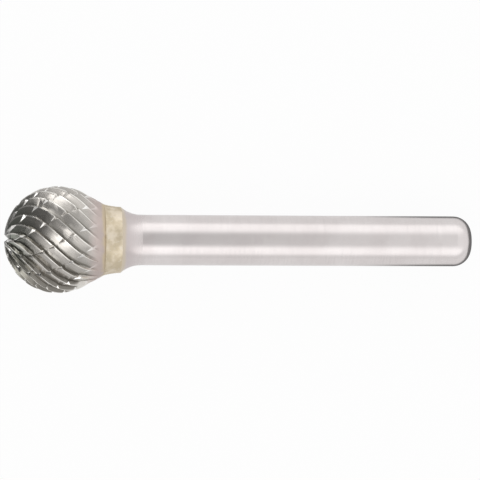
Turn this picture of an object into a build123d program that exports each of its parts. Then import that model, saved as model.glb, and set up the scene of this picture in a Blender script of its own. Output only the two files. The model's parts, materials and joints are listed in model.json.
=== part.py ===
from build123d import *
import os
from math import asin, atan2, ceil, cos, degrees, hypot, pi, radians, sin

os.makedirs("parts", exist_ok=True)

# A ball-nose carbide burr: a toothed carbide head, brazed to a plain round steel shank.
# Lengths are in millimetres and angles in degrees. Turning frame: the burr's axis is Z, the nose
# points to +Z and the ball's centre is at the origin. A place on the head is its angle from the nose.
# The finished pieces are laid down in their rest pose at the end.

# ---- Driving sizes ----
overall_length = 56.0
ball_dia = 12.7
shank_dia = 6.0
end_round = 2.1

# Rear of the head, and the joint.
rear_cone_angle = 29.5
neck_dia = 8.425
band_length = 1.97
band_hollow = 0.06
band_rear_dia = 7.84
stub_dia = 7.4
braze_gap = 0.12
flare_round = 3.7

# Cutting teeth: right-hand helix of constant lead, right-hand cut. Each tooth fills its pitch with a
# steep rake face and a long gentle back. The sweep is in radians round the axis for each ball radius
# along it, and the depth and the rake are shares of the pitch.
tooth_count = 21
tooth_sweep = 0.9
tooth_depth = 0.35
rake_share = 0.1
tooth_phase = 3.6
nose_first = 5.0
full_every = 3
short_fade_from = 8.0
short_fade_to = 18.0
short_least = 0.03
runout_from = 106.0
runout_clear = 6.6
runout_buried = 3.0
buried_depth = 0.2
station_turn = 0.33

# Chip breakers: shallow left-hand V grooves across the teeth. They lift out of the surface at both
# ends, where they clear it by the lift.
breaker_count = 12
breaker_sweep = 0.6
breaker_width = 0.56
breaker_depth = 0.36
breaker_first = 18.0
breaker_last = 122.0
breaker_runout = 14.0
breaker_lift = 0.06
breaker_phase = -2.6
breaker_station_count = 12

# Centre gash: the V groove across the nose, one side steep and the other gentle.
gash_depth = 0.57
gash_offset = 0.06
gash_steep = 0.34
gash_gentle = 0.54
gash_half_length = 3.0

# ---- Derived sizes ----
ball_r = ball_dia / 2
shank_r = shank_dia / 2
band_rear_r = band_rear_dia / 2
stub_r = stub_dia / 2
rear_z = ball_r - overall_length
cone_from = 90 + rear_cone_angle
cone_start_r = ball_r * cos(radians(rear_cone_angle))
cone_start_z = -ball_r * sin(radians(rear_cone_angle))
neck_r = neck_dia / 2
cone_length = (cone_start_r - neck_r) / sin(radians(rear_cone_angle))
cone_to = cone_from + degrees(cone_length / ball_r)
runout_to = cone_to - runout_clear
band_start_z = cone_start_z - cone_length * cos(radians(rear_cone_angle))
band_end_z = band_start_z - band_length
stub_end_z = band_end_z + braze_gap
flare_lean = (shank_r + flare_round - band_rear_r) / flare_round
flare_end_z = band_end_z - flare_round * (1 - flare_lean**2) ** 0.5
tooth_pitch = 360 / tooth_count
station_step = station_turn * tooth_pitch / tooth_sweep
tooth_station_count = ceil((runout_to - runout_buried - nose_first) / station_step) + 1

# The solid rear blank lies this many flute depths inside the toothed ball where the two overlap,
# and the groove cutters stand this far above the surface.
blank_inset = 1.25
above = 0.35


# ---- Shape of the tooth surface ----
def foot(place):
    """Radius, height and outward normal on the head's smooth envelope.

    The place is the angle from the nose on the ball, and carries on at the same rate down the cone.
    """
    if place <= cone_from:
        turn = radians(place)
        return ball_r * sin(turn), ball_r * cos(turn), sin(turn), cos(turn)
    run = ball_r * radians(place - cone_from)
    lean = radians(rear_cone_angle)
    return cone_start_r - run * sin(lean), cone_start_z - run * cos(lean), cos(lean), -sin(lean)


def depth_at(place, share, fade):
    """Depth of a tooth line below the envelope. Only every third flute runs on to the nose."""
    radius, _, out, _ = foot(place)
    pitch = radius * radians(tooth_pitch) / hypot(1, tooth_sweep * out * radius / ball_r)
    shown = (place - short_fade_from) / (short_fade_to - short_fade_from) if fade else 1.0
    sunk = min(1.0, max(0.0, (place - runout_to + runout_buried) / (2 * runout_buried)))
    return share * pitch * min(1.0, max(short_least, shown)) + buried_depth * sunk**2


def tooth_corner(height, tooth, across, share):
    """Corner of a tooth in the flat section at this height, found along its own helix line."""
    low = 0.0
    high = 170.0
    for _ in range(40):
        place = (low + high) / 2
        radius, level, out, up = foot(place)
        depth = depth_at(place, share, tooth % full_every != 0)
        if level - depth * up > height:
            low = place
        else:
            high = place
    around = radians(tooth_phase + (tooth + across) * tooth_pitch) + tooth_sweep * level / ball_r
    return (radius - depth * out) * cos(around), (radius - depth * out) * sin(around)


def ratchet(place):
    """Outline of the whole toothed head across the axis, at the envelope's height at this place."""
    height = foot(place)[1]
    corners = []
    for tooth in range(tooth_count):
        corners.append(tooth_corner(height, tooth, 0, 0))
        corners.append(tooth_corner(height, tooth, rake_share, tooth_depth))
    return corners


def breaker_point(place):
    """Point of the chip breaker's helix line on the ball."""
    down = radians(place)
    around = -breaker_sweep * cos(down)
    return Vector(sin(down) * cos(around), sin(down) * sin(around), cos(down)) * ball_r


def breaker_plane(place):
    """Plane across the chip breaker: local X is sideways, local Y is outwards."""
    here = breaker_point(place)
    ahead = breaker_point(place + 0.05) - breaker_point(place - 0.05)
    return Plane(origin=here, x_dir=here.cross(ahead), z_dir=ahead)


def breaker_section(place):
    """Plain V that lifts out of the surface towards both ends."""
    near_end = min(place - breaker_first, breaker_last - place) / breaker_runout
    lift = max(0.0, 1 - near_end) ** 2 * (breaker_depth + breaker_lift)
    reach = breaker_width / 2 * (1 + above / breaker_depth)
    return [(-reach, above + lift), (0, lift - breaker_depth), (reach, above + lift)]


def stations(first, last, count):
    """Evenly spaced places from first to last."""
    return [first + (last - first) * i / (count - 1) for i in range(count)]


def facing_out(body):
    """The same solid with its surface facing outwards, whichever way the loft left it."""
    shell = body.shell()
    return Solid(shell if body.volume > 0 else -shell)


# ---- Toothed ball and its cutters ----
with BuildPart() as toothed_ball:
    tooth_stations = stations(nose_first, runout_to - runout_buried, tooth_station_count)
    for place in tooth_stations + [runout_to, runout_to + runout_buried]:
        with BuildSketch(Plane.XY.offset(foot(place)[1])):
            Polygon(*ratchet(place), align=None)
    add(facing_out(loft(mode=Mode.PRIVATE)))

with BuildPart() as breaker:
    for place in stations(breaker_first, breaker_last, breaker_station_count):
        with BuildSketch(breaker_plane(place)):
            Polygon(*breaker_section(place), align=None)
    add(facing_out(loft(mode=Mode.PRIVATE)))

with BuildPart() as gash:
    with BuildSketch(Plane.YZ):
        floor_z = ball_r - gash_depth
        Polygon(
            (gash_offset, floor_z),
            (gash_offset + 2 * gash_gentle, floor_z + 2 * gash_depth),
            (gash_offset - 2 * gash_steep, floor_z + 2 * gash_depth),
            align=None,
        )
    extrude(amount=gash_half_length, both=True)

# ---- Carbide head ----
# The solid rear blank ends in a slope that the flutes run out against.
with BuildPart() as head:
    with BuildSketch(Plane.XZ):
        with BuildLine():
            front_r, front_z, front_out, front_up = foot(runout_from)
            inset = blank_inset * depth_at(runout_from, tooth_depth, False)
            slope_start = (front_r - inset * front_out, front_z - inset * front_up)
            slope_end = foot(runout_to)[:2]
            Polyline(
                (0, slope_start[1]),
                slope_start,
                slope_end,
                (neck_r, band_start_z),
                (stub_r, band_start_z),
                (stub_r, stub_end_z),
                (0, stub_end_z),
                close=True,
            )
        make_face()
    revolve(axis=Axis.Z)
    add(toothed_ball.part)
    with PolarLocations(0, breaker_count, start_angle=breaker_phase):
        add(breaker.part, mode=Mode.SUBTRACT)
    add(gash.part, mode=Mode.SUBTRACT)
head.part.label = "carbide_head"

# ---- Braze joint: a thin cup of filler round the stub and between the two faces ----
with BuildPart() as braze:
    with BuildSketch(Plane.XZ):
        with BuildLine():
            band_middle = ((neck_r + band_rear_r) / 2 - band_hollow, (band_start_z + band_end_z) / 2)
            ThreePointArc(
                (neck_r, band_start_z),
                band_middle,
                (band_rear_r, band_end_z),
            )
            Polyline(
                (band_rear_r, band_end_z),
                (0, band_end_z),
                (0, stub_end_z),
                (stub_r, stub_end_z),
                (stub_r, band_start_z),
                (neck_r, band_start_z),
            )
        make_face()
    revolve(axis=Axis.Z)
braze.part.label = "braze_joint"

# ---- Steel shank ----
with BuildPart() as shank:
    with BuildSketch(Plane.XZ):
        with BuildLine():
            flare_middle = pi - atan2(band_end_z - flare_end_z, flare_lean * flare_round) / 2
            ThreePointArc(
                (band_rear_r, band_end_z),
                (
                    shank_r + flare_round + flare_round * cos(flare_middle),
                    flare_end_z + flare_round * sin(flare_middle),
                ),
                (shank_r, flare_end_z),
            )
            Polyline(
                (shank_r, flare_end_z),
                (shank_r, rear_z),
                (0, rear_z),
                (0, band_end_z),
                (band_rear_r, band_end_z),
            )
        make_face()
    revolve(axis=Axis.Z)
    fillet(shank.edges().group_by(Axis.Z)[0], end_round)
shank.part.label = "steel_shank"

# ---- Rest pose: lying on the ball and on the shank's rounded end, nose to -X and a little raised ----
end_ring_z = ball_r - rear_z - ball_r - end_round
end_ring_r = shank_r - end_round
span = hypot(end_ring_z, end_ring_r)
tilt = degrees(asin((ball_r - end_round) / span) - atan2(end_ring_r, end_ring_z))
rear_x = end_ring_z * cos(radians(tilt)) + end_ring_r * sin(radians(tilt)) + end_round
rest = Pos((ball_r - rear_x) / 2, 0, ball_r) * Rot(0, tilt - 90, 0)

for piece in (head, braze, shank):
    label = piece.part.label
    laid = rest * piece.part
    laid.label = label
    export_step(laid, f"parts/{label}.step")
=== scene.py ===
import json
import math

import bpy
from mathutils import Matrix, Vector


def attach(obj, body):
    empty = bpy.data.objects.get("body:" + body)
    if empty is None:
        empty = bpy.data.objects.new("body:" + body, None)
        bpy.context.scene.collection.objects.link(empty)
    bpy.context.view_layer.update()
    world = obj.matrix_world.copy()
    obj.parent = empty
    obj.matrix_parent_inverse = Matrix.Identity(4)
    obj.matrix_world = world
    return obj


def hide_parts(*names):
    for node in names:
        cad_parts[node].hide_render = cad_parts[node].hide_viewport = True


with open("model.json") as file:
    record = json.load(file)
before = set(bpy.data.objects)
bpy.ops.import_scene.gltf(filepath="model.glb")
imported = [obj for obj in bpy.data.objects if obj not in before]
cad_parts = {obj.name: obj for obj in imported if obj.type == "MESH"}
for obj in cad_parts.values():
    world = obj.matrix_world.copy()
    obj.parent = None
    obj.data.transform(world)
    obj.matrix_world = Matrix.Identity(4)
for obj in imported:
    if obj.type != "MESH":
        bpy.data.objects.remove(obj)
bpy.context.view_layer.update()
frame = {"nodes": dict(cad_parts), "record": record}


# ---- Camera ----
# A long lens looks almost straight down on the burr as it lies, leaning a little towards the nose.
# The nose is on the left and the shank on the right.
camera_distance = 0.3323
camera_lean = math.radians(2.8)
camera_roll = math.radians(0.25)
aim_point = Vector((0.00007, -0.00002, 0.0045))

bpy.ops.object.select_all(action="DESELECT")
bpy.ops.object.camera_add(location=(0, 0, 0))
camera = bpy.context.active_object
camera.name = "studio_camera"
camera.data.lens = 208.6
camera.data.sensor_width = 36.0
camera.data.clip_start = 0.01
camera.data.clip_end = 5.0
towards_camera = Vector((-math.sin(camera_lean), 0, math.cos(camera_lean)))
camera.location = aim_point + towards_camera * camera_distance
camera.rotation_euler = (0, -camera_lean, camera_roll)
bpy.context.scene.camera = camera


# ---- Carbide head ----
# One piece of sintered tungsten carbide. Its teeth, chip breakers and the gash across its nose are
# ground with a diamond wheel, which leaves fine lines along the flutes. The crests are honed to a
# narrow land, which carries a painted highlight, and the bare rear slope keeps a lilac tint from the
# heat of brazing. Painted shade darkens the flute roots and the gullies past the crests, the nose
# carries a painted dark green-grey reflection and the chip breaker notches carry painted glints.
merge_distance = 0.000002
crest_hone_percent = 5.0
flute_round_percent = 4.0
rounding_segments = 2
sharp_fold = math.radians(30)
smooth_below = math.radians(28)

ball_radius = 0.00635
rear_cone_angle = math.radians(29.5)
cone_start = ball_radius * math.sin(rear_cone_angle)
band_start = 0.00545
flute_end = 0.0048
hone_from = -0.0058
tooth_pitch = math.radians(360 / 21)
tooth_phase = math.radians(3.6)
tooth_sweep = 0.9
breaker_pitch = math.radians(360 / 12)
breaker_phase = math.radians(-2.6)
breaker_sweep = -0.6
breaker_half_width = 0.00028
breaker_depth = 0.00036

# Where the painted highlights, painted shades, painted reflection and tints begin and end: in
# metres, or as shares of the pitch, of the notch or of the distance from the axis.
flute_fade = 0.0007
land_width = 0.00013
highlight_front = (-0.00002, 0)
highlight_back = (0.8 * land_width, 1.4 * land_width)
gully_shade_front = (0.0, 0.02)
gully_shade_back = (0.135, 0.3)
glint_rim = (0.9, 1.05)
root_zone = (0.03, 0.085)
near_axis = 0.0005
nose_reflection_zone = (-0.0058, -0.0022)
tint_zone = (0.0036, 0.0052)
wash_zone = (band_start + 0.0001, band_start + 0.0006)
relief_depth = 0.0000035


def srgb(red, green, blue):
    """A colour given as it looks, as the linear one that a shader takes."""
    return tuple(
        c / 12.92 if c <= 0.04045 else ((c + 0.055) / 1.055) ** 2.4
        for c in (red / 255, green / 255, blue / 255)
    )


class Value:
    """A shader socket that takes part in sums and products, and makes the nodes that it needs."""

    def __init__(self, tree, socket=None):
        self.tree = tree
        self.socket = socket

    def node(self, kind, settings=None, inputs=None, output=0):
        """A new node with these settings and inputs. The value is that of its output."""
        made = self.tree.nodes.new(kind)
        for name, setting in (settings or {}).items():
            setattr(made, name, setting)
        for name, given in (inputs or {}).items():
            if isinstance(given, Value):
                self.tree.links.new(given.socket, made.inputs[name])
            else:
                made.inputs[name].default_value = given
        return Value(self.tree, made.outputs[output])

    def maths(self, operation, first, second=0.0):
        return self.node("ShaderNodeMath", {"operation": operation}, {0: first, 1: second})

    def __add__(self, other):
        return self.maths("ADD", self, other)

    __radd__ = __add__

    def __sub__(self, other):
        return self.maths("SUBTRACT", self, other)

    def __rsub__(self, other):
        return self.maths("SUBTRACT", other, self)

    def __mul__(self, other):
        return self.maths("MULTIPLY", self, other)

    __rmul__ = __mul__

    def __truediv__(self, other):
        return self.maths("DIVIDE", self, other)

    def __rtruediv__(self, other):
        return self.maths("DIVIDE", other, self)

    def rise(self, low, high):
        """0 below low, 1 above high, smooth between."""
        return self.node(
            "ShaderNodeMapRange",
            {"interpolation_type": "SMOOTHSTEP", "clamp": True},
            {"Value": self, "From Min": low, "From Max": high, "To Min": 0.0, "To Max": 1.0},
        )

    def blend(self, low, high):
        """The colour low where this value is 0, and high where it is 1."""
        sockets = {0: self}
        for name, colour in ((6, low), (7, high)):
            sockets[name] = colour if isinstance(colour, Value) else (*colour, 1.0)
        return self.node("ShaderNodeMix", {"data_type": "RGBA"}, sockets, output=2)

    def past_line(self, pitch, phase):
        """How far this angle is past the nearest line of a repeated set, as a share of its pitch."""
        return self.maths("FRACT", (self - phase) / pitch + 0.5) - 0.5

    def size(self):
        return self.maths("ABSOLUTE", self)

    def parts(self):
        """The X, Y and Z of this place or direction."""
        return [self.node("ShaderNodeSeparateXYZ", None, {0: self}, name) for name in "XYZ"]

    def feed(self, shader, name):
        self.tree.links.new(self.socket, shader.inputs[name])


# The burr's axis dips towards the rear end, which lies on the floor. The turning frame has its
# origin at the ball's centre and its X on that axis, to the rear.
mount = frame["record"]["mounts"][0]
axis_to_rear = Vector(mount["axis"]).normalized()
dip = math.atan2(-axis_to_rear.z, axis_to_rear.x)
axis_point = Vector(mount["pos_m"])
ball_centre = axis_point - axis_to_rear * ((axis_point.z - ball_radius) / axis_to_rear.z)


class Finish:
    """A metal's material, with the place on its surface in the turning frame."""

    def __init__(self, name):
        self.material = bpy.data.materials.new(name)
        self.material.use_nodes = True
        tree = self.material.node_tree
        self.shader = tree.nodes["Principled BSDF"]
        self.shader.inputs["Metallic"].default_value = 1.0
        place = Value(tree).node("ShaderNodeTexCoord", output="Object")
        turn = Matrix.Rotation(-dip, 3, "Y")
        self.place = place.node(
            "ShaderNodeMapping",
            {"vector_type": "POINT"},
            {"Vector": place, "Rotation": (0, -dip, 0), "Location": -(turn @ ball_centre)},
        )
        self.along, side, top = self.place.parts()
        self.out = side.maths("SQRT", side * side + top * top)
        self.around = side.maths("ARCTAN2", side, top)

    def noise(self, size, detail=2.0, vector=None):
        """Soft noise from 0 to 1, with features of about this size in metres."""
        where = vector or self.place
        return where.node(
            "ShaderNodeTexNoise", None, {"Vector": where, "Scale": 1 / size, "Detail": detail}
        )

    def lines(self, angle, width, length):
        """Fine grinding lines that run where the angle stays the same."""
        turns = ball_radius / width
        vector = self.place.node(
            "ShaderNodeCombineXYZ",
            None,
            {
                0: self.along / length,
                1: angle.maths("COSINE", angle) * turns,
                2: angle.maths("SINE", angle) * turns,
            },
        )
        return self.noise(size=1.0, detail=1.0, vector=vector)

    def bump(self, height, depth):
        """Relief of this depth in metres."""
        raised = height.node(
            "ShaderNodeBump", None, {"Height": height, "Strength": 1.0, "Distance": depth}
        )
        raised.feed(self.shader, "Normal")

    def put_on(self, piece):
        piece.data.materials.clear()
        piece.data.materials.append(self.material)


def round_folds(piece, hollow, percent):
    """Rounds the sharp edges of the teeth, the hollow ones or the standing ones.

    The width is a share of the edges beside each one, so it narrows where they crowd together.
    """
    mesh = piece.data
    weights = mesh.attributes.new("bevel_weight_edge", "FLOAT", "EDGE")
    sides_of = {}
    for face in mesh.polygons:
        for key in face.edge_keys:
            sides_of.setdefault(key, []).append(face)
    for edge in mesh.edges:
        sides = sides_of.get(edge.key, [])
        ends = [(mesh.vertices[n].co - ball_centre).dot(axis_to_rear) for n in edge.vertices]
        if len(sides) != 2 or min(ends) < hone_from or max(ends) > flute_end:
            continue
        is_hollow = sides[0].normal.dot(sides[1].center - sides[0].center) > 0
        if is_hollow == hollow and sides[0].normal.angle(sides[1].normal, 0) > sharp_fold:
            weights.data[edge.index].value = 1.0
    rounding = piece.modifiers.new("rounding", "BEVEL")
    rounding.limit_method = "WEIGHT"
    rounding.offset_type = "PERCENT"
    rounding.width_pct = percent
    rounding.segments = rounding_segments
    rounding.use_clamp_overlap = False
    bpy.context.view_layer.objects.active = piece
    bpy.ops.object.modifier_apply(modifier=rounding.name)
    left = piece.data.attributes.get("bevel_weight_edge")
    if left is not None:
        piece.data.attributes.remove(left)


bpy.ops.object.select_all(action="DESELECT")
cad_head = frame["nodes"]["carbide_head"]
cad_head.select_set(True)
bpy.context.view_layer.objects.active = cad_head
bpy.ops.object.duplicate()
head = bpy.context.active_object
head.name = "burr_head"
bpy.ops.object.mode_set(mode="EDIT")
bpy.ops.mesh.select_all(action="SELECT")
bpy.ops.mesh.remove_doubles(threshold=merge_distance)
bpy.ops.object.mode_set(mode="OBJECT")
round_folds(head, True, flute_round_percent)
round_folds(head, False, crest_hone_percent)
bpy.ops.object.select_all(action="DESELECT")
head.select_set(True)
bpy.context.view_layer.objects.active = head
bpy.ops.object.shade_smooth_by_angle(angle=smooth_below)
flats = head.modifiers.new("flats", "WEIGHTED_NORMAL")
flats.keep_sharp = True
bpy.ops.object.modifier_apply(modifier=flats.name)

carbide = Finish("ground_carbide")
along, out, around = carbide.along, carbide.out, carbide.around
from_centre = out.maths("SQRT", along * along + out * out)
cone_depth = ball_radius - (out * math.cos(rear_cone_angle) + along * math.sin(rear_cone_angle))
on_cone = along.maths("GREATER_THAN", along, cone_start)
ball_depth = ball_radius - from_centre
depth = ball_depth + on_cone * (cone_depth - ball_depth)

flute_angle = around + along * (tooth_sweep / ball_radius)
past_crest = flute_angle.past_line(tooth_pitch, tooth_phase)
before_crest = past_crest * out * (-tooth_pitch)
in_flutes = 1 - along.rise(flute_end - flute_fade, flute_end)
# Painted highlight: the narrow land along each crest is painted nearly white.
painted_crest_highlight = before_crest.rise(*highlight_front) * (1 - before_crest.rise(*highlight_back)) * in_flutes
# Painted shade: the gully just past each crest is painted dark.
painted_gully_shade = past_crest.rise(*gully_shade_front) * (1 - past_crest.rise(*gully_shade_back)) * in_flutes
breaker_angle = around + along * (breaker_sweep / ball_radius)
off_breaker = breaker_angle.past_line(breaker_pitch, breaker_phase).size() * out * breaker_pitch
# Painted glints: the chip breaker notches are painted near white.
notch_share = off_breaker / breaker_half_width + depth / breaker_depth
painted_notch_glint = (1 - notch_share.rise(*glint_rim)) * in_flutes
# Painted shade: the flute roots are painted darker, the more so the deeper they lie.
root = (depth / (out + near_axis)).rise(*root_zone)

cloud = carbide.noise(0.0016, detail=3.0)
grain = carbide.noise(0.00012)
flute_lines = carbide.lines(flute_angle, width=0.00006, length=0.0012)
blank_lines = carbide.lines(around, width=0.0004, length=0.00006)
# Painted reflection: the nose is painted a dark green-grey.
painted_nose_reflection = 1 - along.rise(*nose_reflection_zone)
rear_tint = (along + cloud * 0.0012).rise(*tint_zone)
gold_wash = (along + cloud * 0.0011 + grain * 0.0003).rise(*wash_zone)

# Each layer, a real finish, a painted highlight, a painted shade or a painted reflection, lies over
# the ones before it, with its strength and colour.
colour = cloud.rise(0.3, 0.7).blend(srgb(190, 186, 181), srgb(206, 201, 195))
for mask, strength, tone in (
    (flute_lines.rise(0.3, 0.75), 0.5, srgb(168, 164, 158)),
    # painted dark reflection on the nose
    (painted_nose_reflection, 0.6, srgb(134, 146, 133)),
    # painted shade in the flute roots
    (root, 0.4, srgb(128, 126, 118)),
    # painted shade in the gullies past the crests
    (painted_gully_shade, 0.75, srgb(112, 108, 100)),
    # painted highlight on the crest lands
    (painted_crest_highlight, 0.9, srgb(244, 241, 235)),
    # painted glints in the chip breaker notches
    (painted_notch_glint, 0.9, srgb(250, 248, 245)),
    (rear_tint, 0.85, srgb(209, 194, 189)),
    (gold_wash, 0.8, srgb(222, 205, 172)),
):
    colour = (mask * strength).blend(colour, tone)
colour.feed(carbide.shader, "Base Color")
rough = 0.18 + flute_lines * 0.1 + rear_tint * 0.24 + painted_crest_highlight * 0.06 + grain * 0.04
rough.feed(carbide.shader, "Roughness")
relief = flute_lines * in_flutes + blank_lines * (1 - in_flutes) + grain * 0.3
carbide.bump(relief, relief_depth)
carbide.put_on(head)

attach(head, "root")
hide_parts("carbide_head")


# ---- Braze joint ----
# A band of silver brazing filler between the head and the shank, pale gold, cast in the joint and
# left as it froze, with a few duller patches and specks of flux.
flux_relief = 0.00005

braze_joint = frame["nodes"]["braze_joint"]
braze = Finish("silver_braze")
patches = braze.noise(0.0013, detail=3.0)
specks = braze.noise(0.00035)
gold = patches.rise(0.38, 0.62).blend(srgb(213, 199, 173), srgb(237, 225, 205))
for mask, strength, tone in (
    (specks.rise(0.58, 0.75), 0.6, srgb(238, 232, 222)),
    (1 - patches.rise(0.25, 0.42), 0.5, srgb(190, 178, 154)),
):
    gold = (mask * strength).blend(gold, tone)
gold.feed(braze.shader, "Base Color")
rough = 0.38 + patches * 0.14 + specks * 0.1
rough.feed(braze.shader, "Roughness")
braze.bump(patches + specks * 0.35, flux_relief)
braze.put_on(braze_joint)


# ---- Steel shank ----
# A plain round shank of hardened steel, ground between centres and lightly polished, with fine
# lines round it. Its flare up to the joint is turned, and a little lilac from the brazing heat.
heat_zone = (0.009, 0.0135)
flux_zone = (0.0073, 0.0078)
ring_relief = 0.0000015

steel_shank = frame["nodes"]["steel_shank"]
steel = Finish("ground_steel")
ring_lines = steel.lines(steel.around, width=0.006, length=0.00007)
fine_rings = steel.lines(steel.around, width=0.004, length=0.00002)
haze = steel.noise(0.004, detail=3.0)
heat = 1 - (steel.along + haze * 0.003).rise(*heat_zone)
flux = 1 - (steel.along - haze * 0.0005).rise(*flux_zone)
bare = haze.rise(0.3, 0.7).blend(srgb(230, 223, 222), srgb(238, 232, 231))
for mask, strength, tone in (
    (ring_lines.rise(0.4, 0.8), 0.25, srgb(210, 204, 204)),
    (heat, 0.75, srgb(210, 199, 198)),
    (flux, 0.7, srgb(226, 212, 184)),
):
    bare = (mask * strength).blend(bare, tone)
bare.feed(steel.shader, "Base Color")
rough = 0.15 + ring_lines * 0.08 + haze * 0.05 + heat * 0.1
rough.feed(steel.shader, "Roughness")
steel.bump(ring_lines * 0.7 + fine_rings * 0.3, ring_relief)
steel.put_on(steel_shank)


# ---- Floor ----
# A wide sheet of white paper with the burr's soft shadow. In the metal it shows pale grey, with
# painted dark reflections that only the metal sees: a strip beside the rear end of the shank, which
# stands in for shade on the floor there, and another before the nose.
floor_size = 4.0
floor_white = 0.82
floor_roughness = 0.9
lift = 0.95
paper_in_metal = 0.8
strip_grey = 0.14
rear_strip_begins = (0.01, 0.026)
rear_strip_ends = (0.04, 0.06)
rear_strip_sides = (0.0045, 0.009)
nose_strip_ends = (-0.07, -0.045)
nose_strip_side = (-0.09, -0.03)
nose_card_ends = (-0.034, -0.026)
nose_card_front = (-0.005, 0.001)
nose_card_back = (0.017, 0.026)

bpy.ops.object.select_all(action="DESELECT")
bpy.ops.mesh.primitive_plane_add(size=floor_size, location=(0, 0, 0))
floor = bpy.context.active_object
floor.name = "studio_floor"
paper = bpy.data.materials.new("white_paper")
paper.use_nodes = True
tree = paper.node_tree
shader = tree.nodes["Principled BSDF"]
shader.inputs["Base Color"].default_value = (floor_white, floor_white, floor_white, 1)
shader.inputs["Roughness"].default_value = floor_roughness
to_camera = Value(tree).node("ShaderNodeLightPath", output="Is Camera Ray")
to_metal = Value(tree).node("ShaderNodeLightPath", output="Is Glossy Ray")
spot_x, spot_y, _ = Value(tree).node("ShaderNodeTexCoord", output="Object").parts()
# Painted dark reflections: these strips of the floor are dark only in the metal, not to the camera.
rear_strip = spot_x.rise(*rear_strip_begins) * (1 - spot_x.rise(*rear_strip_ends))
rear_strip = rear_strip * (1 - spot_y.size().rise(*rear_strip_sides))
nose_strip = (1 - spot_x.rise(*nose_strip_ends)) * spot_y.rise(*nose_strip_side)
nose_card = (1 - spot_x.rise(*nose_card_ends)) * spot_y.rise(*nose_card_front)
nose_strip = nose_strip + nose_card * (1 - spot_y.rise(*nose_card_back))
dark = (rear_strip + nose_strip).rise(0.0, 1.0)
white = 1 - to_metal * (1 - paper_in_metal + dark * (paper_in_metal - strip_grey))
glow = white.node("ShaderNodeEmission", None, {"Color": white, "Strength": 1.0})
seen = (to_camera + to_metal) * lift
lit_paper = Value(tree, shader.outputs["BSDF"])
mixed = seen.node("ShaderNodeMixShader", None, {0: seen, 1: lit_paper, 2: glow})
mixed.feed(tree.nodes["Material Output"], "Surface")
floor.data.materials.append(paper)


# ---- Studio light ----
# Soft light all round: a grey ceiling that is lighter towards the rear end of the burr, a long
# bright panel low on each side, two soft lamps beside the head and a dark curtain beyond the nose.
nose_ceiling = 0.42
shank_ceiling = 0.76
rear_ceiling = 0.86
panel_white = 1.15
back_horizon = 0.78
front_horizon = 0.74
lamp_bright = 2.3
lamps_towards = (Vector((-0.3, -0.55, 0.78)), Vector((-0.35, 0.91, 0.2)))
curtain_towards = Vector((-0.9, 0.3, 0.2))
curtain_grey = 0.15

# Where each light begins and is full, as the cosine of its angle from a direction.
shank_zone = (0.16, 0.2)
rear_zone = (0.2, 0.26)
back_zone = (0.4, 0.8)
back_height = (0, 0.3)
front_zone = (0.3, 0.7)
front_height = (0.2, 0.5)
curtain_zone = (0.72, 0.88)
lamp_zone = (0.91, 0.965)

bpy.context.scene.view_settings.view_transform = "Standard"
world = bpy.data.worlds.new("studio")
bpy.context.scene.world = world
world.use_nodes = True
tree = world.node_tree
background = tree.nodes["Background"]
background.inputs["Strength"].default_value = 1.0
direction = Value(tree).node("ShaderNodeTexCoord", output="Generated")
rearward, leftward, upward = direction.parts()


def facing(towards):
    """The cosine of the angle between a ray and this direction."""
    sockets = {0: direction, 1: towards.normalized()}
    return direction.node("ShaderNodeVectorMath", {"operation": "DOT_PRODUCT"}, sockets, "Value")


light = rearward.rise(*shank_zone) * (shank_ceiling - nose_ceiling) + nose_ceiling
light = light + rearward.rise(*rear_zone) * (rear_ceiling - shank_ceiling)
back_panel = upward.rise(*back_height) * (panel_white - back_horizon) + back_horizon
light = light + leftward.rise(*back_zone) * (back_panel - light)
front_panel = upward.rise(*front_height) * (panel_white - front_horizon) + front_horizon
light = light + (0 - leftward).rise(*front_zone) * (front_panel - light)
light = light + facing(curtain_towards).rise(*curtain_zone) * (curtain_grey - light)
for towards in lamps_towards:
    light = light + facing(towards).rise(*lamp_zone) * (lamp_bright - light)
to_camera = direction.node("ShaderNodeLightPath", output="Is Camera Ray")
shown = light + to_camera * (1 - light)
shown.feed(background, "Color")
